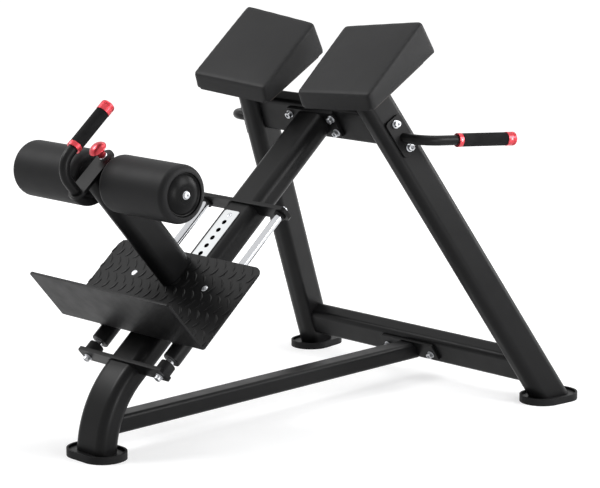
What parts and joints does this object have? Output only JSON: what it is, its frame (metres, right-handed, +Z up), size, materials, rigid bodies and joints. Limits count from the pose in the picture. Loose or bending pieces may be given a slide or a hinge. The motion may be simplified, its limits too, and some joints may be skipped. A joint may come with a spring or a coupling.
{
  "type": "hyperextension bench",
  "caption": "Hyperextension bench: three-legged tube frame with wedge hip pads and side handles, and a pin-locked carriage with a foot plate and ankle rollers that slides along a sloping beam.",
  "frame": {"origin": "on the floor, under the middle of the bench's overall box", "axes": "+Z up; +Y from the single front foot towards the two rear feet, the way the user faces; +X to the user's right"},
  "size_m": [0.9438, 1.2864, 0.9631],
  "materials": {
    "frame_black": "satin black powder coat on steel tube and plate",
    "pad_vinyl": "fine-grained black vinyl cover over firm foam",
    "roller_foam": "black skinned foam, soft sheen",
    "grip_foam": "matt black foam grip",
    "red_anodised": "red anodised, fine-turned",
    "chrome": "bright hard chrome",
    "zinc": "bright zinc plating",
    "rubber_black": "moulded black rubber",
    "plastic_black": "black bearing plastic",
    "plywood": "black-stained birch plywood",
    "spring_steel": "oiled spring wire"
  },
  "bodies": {
    "frame": {"main_beam": "frame_black", "beam_head_flange": "frame_black", "upper_cross_tube": "frame_black", "rear_leg_left": "frame_black", "rear_leg_right": "frame_black", "lower_cross_tube": "frame_black", "bottom_rail": "frame_black", "rail_flange": "frame_black", "front_foot_plate": "frame_black", "rear_left_foot_plate": "frame_black", "rear_right_foot_plate": "frame_black", "lower_rod_bracket": "frame_black", "upper_rod_bracket": "frame_black", "pad_bracket_left": "frame_black", "pad_bracket_right": "frame_black", "hip_handle_plate_left": "frame_black", "hip_handle_plate_right": "frame_black", "hip_handle_tube_left": "frame_black", "hip_handle_tube_right": "frame_black", "front_foot_cap": "rubber_black", "rear_left_foot_cap": "rubber_black", "rear_right_foot_cap": "rubber_black", "rod_bumper_left": "rubber_black", "rod_bumper_right": "rubber_black", "guide_rod_left": "chrome", "guide_rod_right": "chrome", "adjuster_strip": "chrome", "strip_screw": "zinc", "hip_pad_left": "pad_vinyl", "hip_pad_right": "pad_vinyl", "pad_board_left": "plywood", "pad_board_right": "plywood", "hip_handle_grip_left": "grip_foam", "hip_handle_grip_right": "grip_foam", "hip_handle_collar_left": "red_anodised", "hip_handle_collar_right": "red_anodised", "hip_handle_cap_left": "red_anodised", "hip_handle_cap_right": "red_anodised"},
    "carriage": {"slide_sleeve_left": "plastic_black", "slide_sleeve_right": "plastic_black", "foot_plate": "frame_black", "foot_plate_screw_left": "zinc", "foot_plate_screw_right": "zinc", "roller_arm": "frame_black", "arm_head_plate": "frame_black", "roller_axle": "zinc", "axle_end_screw_left": "zinc", "axle_end_screw_right": "zinc", "arm_handle_tube": "frame_black", "arm_handle_collar": "red_anodised", "arm_handle_grip": "grip_foam", "arm_handle_cap": "red_anodised", "pin_bush": "chrome", "pin_spring": "spring_steel"},
    "pull_pin_body": {"pull_pin": "chrome", "pull_knob": "red_anodised"},
    "roller_left": {"ankle_roller_left": "roller_foam", "roller_core_left": "plastic_black"},
    "roller_right": {"ankle_roller_right": "roller_foam", "roller_core_right": "plastic_black"}
  },
  "joints": [
    {"name": "carriage_slide", "type": "slide", "parent": "frame", "child": "carriage", "axis": [0, 0.7631, 0.6463], "range_m": [0, 0.15]},
    {"name": "pull_pin_slide", "type": "slide", "parent": "carriage", "child": "pull_pin_body", "axis": [0, -0.6463, 0.7631], "range_m": [0, 0.012], "stiffness_N_per_m": 1200, "springref_m": -0.012},
    {"name": "roller_spin_left", "type": "hinge", "parent": "carriage", "child": "roller_left", "pos_m": [0, -0.51347, 0.63698], "axis": [1, 0, 0], "continuous": true},
    {"name": "roller_spin_right", "type": "hinge", "parent": "carriage", "child": "roller_right", "pos_m": [0, -0.51347, 0.63698], "axis": [1, 0, 0], "continuous": true}
  ]
}
